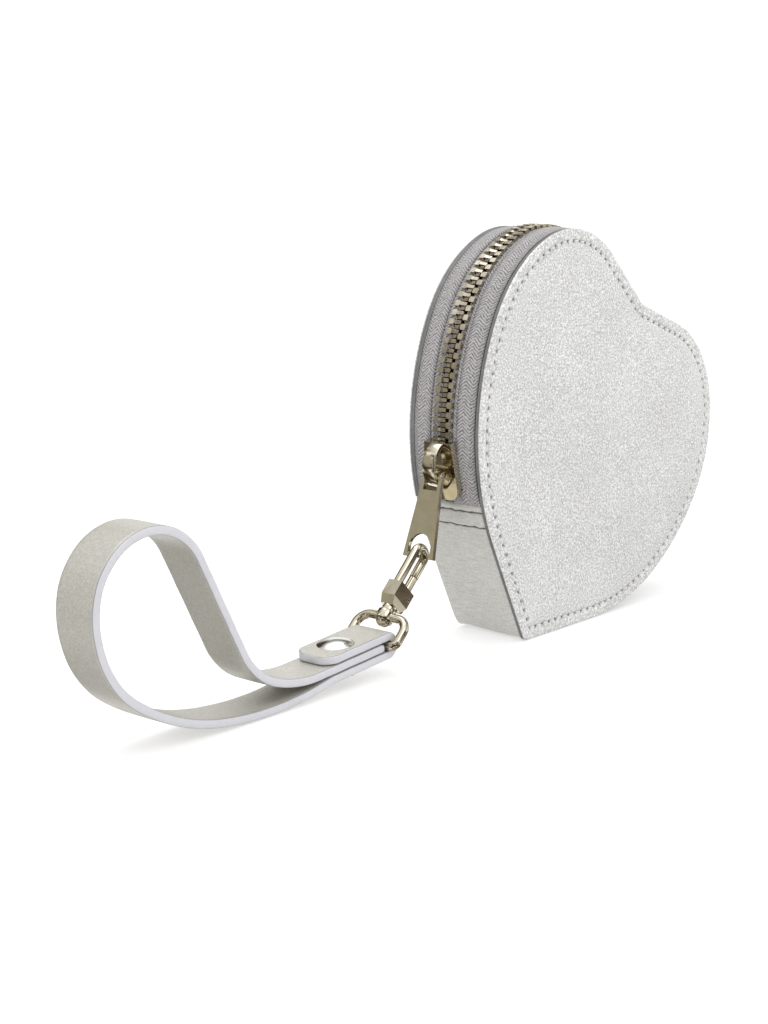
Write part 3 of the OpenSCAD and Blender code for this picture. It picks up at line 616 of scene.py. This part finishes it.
def panel_frame(z_sign):
    """Frames along a panel's sewn row, for its stitches."""
    def at(s):
        s = max(-HALF_L, min(HALF_L, s))
        q = stood(Track([s, s + 0.01]).inset(STITCH_IN))
        along = (q[1] - q[0]) / np.linalg.norm(q[1] - q[0])
        return (np.array([*q[0], z_sign * (OUT_Z - ROW_SUNK)]), np.array([*along, 0]),
                np.array([0, 0, z_sign]))
    return at


def lining_cut():
    """Flat width and length of a panel's lining, and its area, from the heart drawing."""
    q = loop_track(1.0).inset(LINING_IN)
    after = np.roll(q, -1, 0)
    area = abs(np.sum(q[:, 0] * after[:, 1] - after[:, 0] * q[:, 1])) / 2
    return tuple((q.max(0) - q.min(0)) * MM), area * MM * MM


CUT, CUT_AREA = lining_cut()
for side, z_sign in (("front", 1), ("rear", -1)):
    under = 0 if side == "front" else GUSSET_T + 0.05
    o = plate(side + "_panel_leather", PANEL_PROFILE, [SILVER, EDGE], z_sign, panel_relief,
              step=0.3, spacing=1.8, covered=under)
    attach(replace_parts(o, side + "_panel"), "purse")
    o = plate(side + "_painted_edge", BACKING_PROFILE, [EDGE], z_sign, spacing=0, covered=under)
    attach(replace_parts(o, side + "_backing"), "purse")
    o = plate(side + "_lining_cloth", LINING_PROFILE, [CLOTH], z_sign, step=1.4, spacing=4.0,
              flow=True)
    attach(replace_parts(o, side + "_lining"), "purse")
    o = stitches(side + "_panel_stitching", STITCHES, panel_frame(z_sign), 0.0, THREAD)
    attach(o, "purse")


# Strips that run along the outline
def strip(name, stations, section, mat):
    """A closed section swept along the outline. section(track) lists (inset, height) or (inset,
    height, painted shade), each a number or an array with one value a station."""
    track = Track(stations)
    lines = section(track)
    m, n = len(lines), len(track.s)
    verts, flow, dark = [], [], []
    for inset, z, *shade in lines:
        verts.append(track.place(inset, z))
        dark.append(shade[0] if shade else np.zeros(n))
        across = np.broadcast_to(np.asarray(z, float), track.s.shape)
        flow.append(np.stack([track.s, across, np.zeros(n)], -1) * MM)
    faces = grid_faces(m, n, wrap_rows=True)
    faces.append(tuple(i * n for i in range(m)))
    faces.append(tuple(i * n + n - 1 for i in range(m)))
    return new_object(name, np.concatenate(verts), faces, [mat], flow=np.concatenate(flow),
                      painted_shade=np.concatenate(dark))


# The gusset's sewn rows, from its folded end, and the puffs beside them: height, place, width
ROWS = (2.2, 6.4)
PUFFS = ((0.16, 4.3, 1.5), (0.12, 1.0, 0.6))
# Radii of the folded end and the rear edge, and the dip at the front panel: depth, reach
FOLD_END_R, REAR_EDGE_R, FRONT_DIP = 0.8, 0.9, (0.35, 0.4)
# Inset of the rear edge, where the strip's step up from it starts, and its reach
REAR_IN, STEP_START, STEP_REACH = 0.03, 0.8, 3
# The strip's bulge, its rounding at the heart's point, and the pitch of its puckers
BULGE, POINT_ROUND, PUCKER_PITCH = 0.20, (0.58, 2.2), 3.04
# Depth and half width of a sewn row, half width of its shade, and what keeps the inset inside
ROW_DEPTH, ROW_W, ROW_SHADE_W, LEAST_IN = 0.40, 0.45, 0.2, 0.02
# Height where the rounding at the point starts to fade in and its reach, and the distances from
# the front panel and the rear edge over which the relief fades in
POINT_FADE, FRONT_FADE, REAR_FADE = (5.0, 12.0), 1.5, 3.5
# How far a sewn row strays, over what length, and what sets the two rows apart
DRIFT, DRIFT_SCALE, DRIFT_SEED = 0.35, 1.9, 3.7
# The strip's two sets of creases: height, scale
CREASE_FINE, CREASE_LONG = (0.04, 3.2), (0.06, 5.0)
# Heights of the section's lines: close together over the rear edge, then even
REAR_LINES = -OUT_Z + np.array([0, 0.08, 0.2, 0.4, 0.7, 1.1, 1.5])
STRIP_LINES = np.concatenate([REAR_LINES, np.linspace(-9.2, SHELL_Z, 42)])


def row_drift(row, z):
    """How far a sewn row strays from its straight line."""
    return DRIFT * wobble([z], [row * DRIFT_SEED], DRIFT_SCALE, seed=4.0)[0]


def gusset_section(track):
    """The strip from its rounded rear edge, over the rear panel's edge, to the front panel, and
    its turned flanges."""
    s = np.abs(track.s)
    d = np.maximum(SEAM_S - s, 0)
    fold = np.where(d < FOLD_END_R, edge_drop(d, FOLD_END_R), 0)
    puff = sum(height * gauss(d - place, width) for height, place, width in PUFFS)
    out = []
    for z in STRIP_LINES:
        to_front, to_rear = SHELL_Z - z, OUT_Z + z
        corner = FRONT_DIP[0] * math.exp(-(to_front / FRONT_DIP[1]) ** 1.5)
        corner += edge_drop(to_rear, REAR_EDGE_R)
        climb = min(1, max(0, (to_rear - STEP_START) / STEP_REACH)) ** 0.7
        base = REAR_IN + (EDGE_PROUD - REAR_IN) * climb
        bulge = BULGE * max(0, 1 - (z / SHELL_Z) ** 2)
        pucker = 0.35 + 0.65 * (0.5 + 0.5 * math.cos(2 * math.pi * z / PUCKER_PITCH)) ** 2
        offs = [d - row - row_drift(row, z) for row in ROWS]
        sewn = sum(gauss(off, ROW_W) for off in offs)
        line = sum(gauss(off, ROW_SHADE_W) for off in offs)
        fine = wobble(track.s, np.full(len(d), z), CREASE_FINE[1], seed=9.0)
        long = wobble(track.s * 2.0, np.full(len(d), z * 0.4), CREASE_LONG[1], seed=2.0)
        crease = CREASE_FINE[0] * fine + CREASE_LONG[0] * long
        lower = min(1, max(0, (POINT_FADE[0] - z) / POINT_FADE[1]))
        rounded = POINT_ROUND[0] * gauss(s, POINT_ROUND[1]) * lower
        free = min(1.0, to_front / FRONT_FADE) * min(1.0, to_rear / REAR_FADE)
        relief = bulge + crease + puff - ROW_DEPTH * sewn * pucker
        inset = np.maximum(base + corner + fold + rounded - free * relief, LEAST_IN)
        # Painted shade along the sewn rows, strongest at the puckers and kept off the strip's edges
        shown = 1.5 if -SHELL_Z + 1.0 < z < SHELL_Z - 0.3 else 0.0
        out.append((inset, z, np.clip(shown * (0.35 + pucker) * line, 0, 0.95)))
    under, lo = TUCK_IN + 0.02, SHELL_Z - GUSSET_T
    out += [(SEAM_W, SHELL_Z), (SEAM_W, lo), (under, lo), (under, -lo), (SEAM_W, -lo),
            (SEAM_W, -SHELL_Z), (GUSSET_T, -SHELL_Z), (GUSSET_T, -OUT_Z)]
    return out


# Stations along the strip: fine over the sewn ends and round the point, coarser between
FINE_L, TIP_L = 9, 2.3
tip_s = np.linspace(-TIP_L, TIP_L, 47)
half = np.concatenate([-SEAM_S + np.linspace(0, FINE_L, 76),
                       np.linspace(-SEAM_S + FINE_L + 0.3, -TIP_L - 0.2, 60)])
stations = np.unique(np.round(np.concatenate([half, -half, tip_s]), 5))
o = strip("gusset_leather_strip", stations, gusset_section, GUSSET)
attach(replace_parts(o, "gusset_strip"), "purse")


def lining_section(track):
    outer, inner = TUCK_IN + 0.05, TUCK_IN + LINING_T
    lo = SHELL_Z - GUSSET_T - 0.05
    return [(outer, -lo), (outer, 0), (outer, lo), (inner, lo), (inner, 0), (inner, -lo)]


stations = np.unique(np.concatenate([np.linspace(-TUCK_S + 0.2, TUCK_S - 0.2, 60), tip_s]))
o = strip("gusset_lining_cloth", stations, lining_section, CLOTH)
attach(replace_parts(o, "gusset_lining"), "purse")

# The tape's corded bead: height, place, half width. Its free part swells from SWELL_Z outward
BEAD, SWELL, SWELL_Z, TAPE_COLUMNS = (0.32, 3.35, 0.36), 0.42, 4.3, 60
# The bead's and its sewing's pitch, and the length over which the tape comes out of the gusset
CORD_PITCH, SEWING_PITCH, CLEAR_L, SWELL_FADE = 0.9, 1.0, 1.6, 0.5
# The free part's slackness: height, scale, and where it starts
SLACK, SLACK_SCALE, SLACK_Z = 0.06, 6.0, 4.0
# Painted shade along the tape: darkness, place, half width. The first follows the bead's sewing
SEWING_SHADE = (0.8, 3.95, 0.13)
TAPE_SHADES = ((0.5, 2.75, 0.2), (0.30, SHELL_Z, 1.2), (0.6, SHELL_Z, 0.22), (0.35, 4.2, 0.6))


def tape_section(z_sign):
    """A tape with a soft bulge between the panel's edge and the corded bead beside the teeth."""
    def section(track):
        s = np.abs(track.s)
        tucked = s < SEAM_S
        top = np.where(tucked, SHELL_Z - GUSSET_T - 0.1, SHELL_Z)
        clear = np.where(tucked, 0, 1 - gauss(s - SEAM_S, CLEAR_L))
        outer = np.where(tucked, TUCK_IN + 0.02, TAPE_IN)
        cord = 0.85 + 0.15 * np.sin(2 * math.pi * s / CORD_PITCH)
        sewing = 0.55 + 0.45 * np.sin(2 * math.pi * s / SEWING_PITCH)
        out = []
        for k in range(TAPE_COLUMNS + 1):
            z = TAPE_GAP / 2 + (top - TAPE_GAP / 2) * k / TAPE_COLUMNS
            bead = BEAD[0] * gauss(z - BEAD[1], BEAD[2]) * cord
            dome = np.clip(1 - ((z - SWELL_Z) / (SHELL_Z - SWELL_Z)) ** 2, 0, 1)
            swell = SWELL * dome * np.where(z > SWELL_Z, 1, gauss(z - SWELL_Z, SWELL_FADE))
            slack = SLACK * wobble(s, z * 2.0, SLACK_SCALE, seed=5.0) * (z > SLACK_Z)
            # Painted shade: a dark line along the bead's sewing, and darker bands beside the teeth,
            # at the panel's edge and beside the bead
            tape_shade = SEWING_SHADE[0] * gauss(z - SEWING_SHADE[1], SEWING_SHADE[2]) * sewing
            for shade, place, width in TAPE_SHADES:
                tape_shade = tape_shade + shade * gauss(z - place, width)
            out.append((outer - clear * (bead + swell + slack), z_sign * z,
                        np.clip(clear * tape_shade, 0, 1)))
        reach = np.where(tucked, TUCK_IN + TAPE_T, SEAM_W)
        out += [(reach, z_sign * top), (reach, z_sign * (top - TAPE_T)),
                (outer + TAPE_T, z_sign * (top - TAPE_T)), (outer + TAPE_T, z_sign * TAPE_GAP / 2)]
        return out
    return section


right = np.concatenate([np.linspace(TUCK_S, SEAM_S - 0.02, 6),
                        np.arange(SEAM_S + 0.02, HALF_L, 0.3), [HALF_L - 1e-4]])
stations = np.concatenate([right, -right[::-1]])
for side, z_sign in (("front", 1), ("rear", -1)):
    o = strip(side + "_tape_weave", stations, tape_section(z_sign), TAPE)
    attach(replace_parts(o, side + "_tape"), "purse")


def gusset_frame(row, half_sign):
    """Frames across the gusset along a sewn row, for its stitches."""
    def at(z):
        track = Track([half_sign * (SEAM_S - row - row_drift(row, z))])
        q = stood(track.inset(EDGE_PROUD))[0]
        deeper = stood(track.inset(EDGE_PROUD + 1))[0]
        return np.array([*q, z]), np.array([0, 0, 1.0]), np.array([*(q - deeper), 0.0])
    return at


# Heights of a row's first and last stitch, their number, and how far out they lie
FIRST_Z, LAST_Z, STITCHES_A_ROW, GUSSET_LIFT = -7.4, 8.3, 6, -0.22
heights = np.linspace(FIRST_Z, LAST_Z, STITCHES_A_ROW)
for half_sign, half_name in ((-1, "left"), (1, "right")):
    for i, row in enumerate(ROWS, 1):
        o = stitches(f"gusset_stitching_{half_name}_{i}", heights, gusset_frame(row, half_sign),
                     GUSSET_LIFT, SHADED_THREAD)
        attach(o, "purse")


# Wrist strap: one band along the CAD's route, with domed painted edges
STRAP_ROUTE = [[TAB_L, 0], [FOLD_R, -180], [19.7, 0], [6.3, 8], [95.7513, -21], [57.7, -26],
               [24.7, -58], [15.5, -150], [26.3998, 0], [18.5, 44], [36, 23], [22.0113, 0]]
# The painted edge, as (distance past the band's half width, share of its half thickness)
STRAP_EDGE_LINE = ((-0.22, 0.90), (-0.10, 0.86), (0.04, 0.62), (0.10, 0.3), (0.12, 0), (0.10, -0.3),
                   (0.04, -0.62), (-0.10, -0.86), (-0.22, -0.90))
# Which of its faces are the dark corners, and how much narrower and lower the leather faces are
CORNER_FACES, FACE_MARGIN, FACE_CROWN = (0, 7, 8), 0.32, 0.05
# Distance between stations along the band, the share of its thickness at its two ends, and how
# far its edges waver
STRAP_STEP, END_THIN, WAVER = 0.8, 0.85, 0.03


def strap_section():
    """The band's section as (across, up) pairs, and the material of each face between them."""
    hw, ht = STRAP_W / 2, STRAP_T / 2
    section, mats = [], []
    for side in (1, -1):
        for y in np.linspace(-side, side, 15):
            section.append((y * (hw - FACE_MARGIN), side * (ht - FACE_CROWN * (y * y))))
            mats.append(0)
        mats[-1] = 2
        for k, (past, share) in enumerate(STRAP_EDGE_LINE):
            section.append((side * (hw + past), side * share * ht))
            mats.append(2 if k in CORNER_FACES else 1)
    return section, mats


def wrist_strap():
    start = np.array(RING_BAR) + FOLD_R * left(STRAP_ANGLE) + TAB_L * unit(180 + STRAP_ANGLE)
    total = route_len(STRAP_ROUTE)
    fold_end = TAB_L + math.pi * FOLD_R
    stations = np.concatenate([
        np.linspace(0.02, TAB_R, 14), np.arange(TAB_R + 0.4, TAB_L, STRAP_STEP),
        np.linspace(TAB_L, fold_end, 24), np.arange(fold_end + 0.6, total - 0.3, STRAP_STEP),
        [total - 0.3, total - 0.05]])
    section, mats = strap_section()
    verts, flow = [], []
    for s in stations:
        p, heading = walk(STRAP_ROUTE, start, STRAP_ANGLE, s)
        up = left(heading)
        narrower = (STRAP_W / 2 - edge_drop(s, TAB_R)) / (STRAP_W / 2)
        thin = END_THIN if s > total - 0.4 or s < 0.1 else 1.0
        for w, t in section:
            q = p + up * (t * thin)
            verts.append([*q, w * narrower + WAVER * math.sin(s * 0.7 + w)])
            flow.append([s * MM, w * MM, t * MM])
    m, c = len(stations), len(section)
    faces = grid_faces(m, c, wrap_cols=True)
    faces.append(tuple(range(c)))
    faces.append(tuple((m - 1) * c + j for j in range(c)))
    return new_object("wrist_strap_leather", row_frame(verts), faces,
                      [STRAP_FACE, STRAP_EDGE, STRAP_CORNER], mats * (m - 1) + [1, 1],
                      flow=flow, merge=False)


o = wrist_strap()
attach(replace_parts(o, "wrist_strap"), "strap")

# Metal pieces keep the CAD's solids, with eased edges: material and width of the easing
METAL = {"front_teeth": (TEETH, 0.10), "rear_teeth": (TEETH, 0.10), "top_stops": (TEETH, 0.1),
         "bottom_stop": (TEETH, 0.1), "slider_body": (PLATED, 0.25), "slider_crown": (PLATED, 0.35),
         "zip_puller": (PLATED, 0.18), "clasp_hook": (PLATED, 0.12), "clasp_gate": (PLATED, 0.12),
         "gate_pin": (PLATED, 0.05), "gate_spring": (PLATED, 0.05), "swivel_post": (PLATED, 0.08),
         "swivel_ring": (PLATED, 0.08), "rivet_cap": (RIVET, 0.15), "rivet_post": (RIVET, 0.1)}
CAD_WELD, SHARP_ANGLE = 2e-6, 32
for name, (mat, ease) in METAL.items():
    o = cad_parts[name]
    o.data.materials.clear()
    o.data.materials.append(mat)
    weld = o.modifiers.new("weld", "WELD")
    weld.merge_threshold = CAD_WELD
    bevel = o.modifiers.new("ease", "BEVEL")
    bevel.width, bevel.segments = ease * MM, 3
    bevel.limit_method, bevel.angle_limit = "ANGLE", math.radians(SHARP_ANGLE)
    bevel.harden_normals = True

# Floor, light and camera, in metres and watts
FLOOR_R, FLOOR_Z, FLOOR_TONE, FLOOR_GLOW = 12, -0.0002, (0.58, 0.61), 0.46
WORLD_LIGHT = 1.12
KEY = dict(place=(-0.3, -0.7, 1.2), aim_at=(0.03, 0, 0.03), size=0.7, power=2.4)
TOP = dict(place=(0.2, 0.3, 1.4), aim_at=(0.0, 0, 0.0), size=1.0, power=4.5)
SHELL_R, SHELL_GLOW = 3, 1.15
# The camera's lens and sensor in millimetres, its place and its line of sight
LENS, SENSOR = 66.375, 36.0
EYE, SIGHT = (-0.35314, -0.2850, 0.1275), (0.7472, 0.6345, -0.198)


def staged(name, mat, make, **size):
    """A piece of the studio, made by one of bmesh's own forms. It isn't part of the object."""
    bm = bmesh.new()
    make(bm, **size)
    mesh = bpy.data.meshes.new(name)
    bm.to_mesh(mesh)
    bm.free()
    mesh.materials.append(mat)
    return link(bpy.data.objects.new(name, mesh))


def aim(obj, place, way):
    obj.location = place
    obj.rotation_mode = "QUATERNION"
    obj.rotation_quaternion = way.to_track_quat("-Z", "Y")


def lamp(name, place, aim_at, size, power):
    light = bpy.data.lights.new(name, "AREA")
    light.energy, light.size = power, size
    aim(link(bpy.data.objects.new(name, light)), place, Vector(aim_at) - Vector(place))


floor_mat, nt, p = material("pale_floor")
patches = texture(nt, coords(nt), 3.0, 2.0)
nt.links.new(ramp(nt, patches, (0.3, FLOOR_TONE[0]), (0.7, FLOOR_TONE[1])), p.inputs["Base Color"])
p.inputs["Emission Color"].default_value = (1, 1, 1, 1)
p.inputs["Emission Strength"].default_value = FLOOR_GLOW
p.inputs["Roughness"].default_value = 0.9
p.inputs["Specular IOR Level"].default_value = 0.1
floor = staged("floor", floor_mat, bmesh.ops.create_circle, cap_ends=True, segments=96,
               radius=FLOOR_R)
floor.location = (0, 0, FLOOR_Z)
floor.visible_glossy = False

world = bpy.data.worlds.new("studio")
bpy.context.scene.world = world
world.use_nodes = True
background = world.node_tree.nodes["Background"]
background.inputs["Color"].default_value = (1, 1, 1, 1)
background.inputs["Strength"].default_value = WORLD_LIGHT

lamp("key", **KEY)
lamp("top", **TOP)

# A shell that only reflections see: dim brown surroundings with soft bright patches, and an even
# glow round some directions: direction, where it starts and is full, colour
GLOWS = (((0, 0, 1), 0.60, 0.85, (1.0, 1.0, 1.0)),
         ((0.73, 0.62, 0.29), 0.93, 0.985, (0.95, 0.95, 0.93)),
         ((0, 0, -1), 0.80, 0.95, (0.5, 0.47, 0.40)),
         ((-0.739, 0.6345, 0.229), 0.90, 0.97, (0.42, 0.40, 0.34)))
shell_mat = bpy.data.materials.new("surroundings")
shell_mat.use_nodes = True
nt = shell_mat.node_tree
nt.nodes.remove(nt.nodes["Principled BSDF"])
at = coords(nt)
shifted = node(nt, "ShaderNodeVectorMath", p_operation="ADD", i0=at, i1=(0.35, 0.1, 0.0)).outputs[0]
patches = texture(nt, shifted, 2.4, 1.0, 0.4)
tint = ramp(nt, patches, (0.46, (0.05, 0.036, 0.024)), (0.54, (0.25, 0.215, 0.165)),
            (0.62, (1.3, 1.3, 1.3)))
for way, start, full, colour in GLOWS:
    facing = node(nt, "ShaderNodeVectorMath", p_operation="DOT_PRODUCT", i0=at,
                  i1=way).outputs["Value"]
    tint = mix(nt, ramp(nt, facing, (start, 0.0), (full, 1.0)), tint, colour)
glow = node(nt, "ShaderNodeEmission", Color=tint, Strength=SHELL_GLOW)
nt.links.new(glow.outputs[0], nt.nodes["Material Output"].inputs["Surface"])
shell = staged("surroundings", shell_mat, bmesh.ops.create_uvsphere, u_segments=48,
               v_segments=24, radius=1.0)
shell.scale = (SHELL_R,) * 3
for ray in ("camera", "diffuse", "shadow", "transmission", "volume_scatter"):
    setattr(shell, "visible_" + ray, False)

scene = bpy.context.scene
scene.view_settings.view_transform = "Standard"
cam = bpy.data.cameras.new("camera")
cam.lens, cam.sensor_width, cam.sensor_fit = LENS, SENSOR, "AUTO"
cam.clip_start = 0.01
camera = link(bpy.data.objects.new("camera", cam))
aim(camera, EYE, Vector(SIGHT))
scene.camera = camera
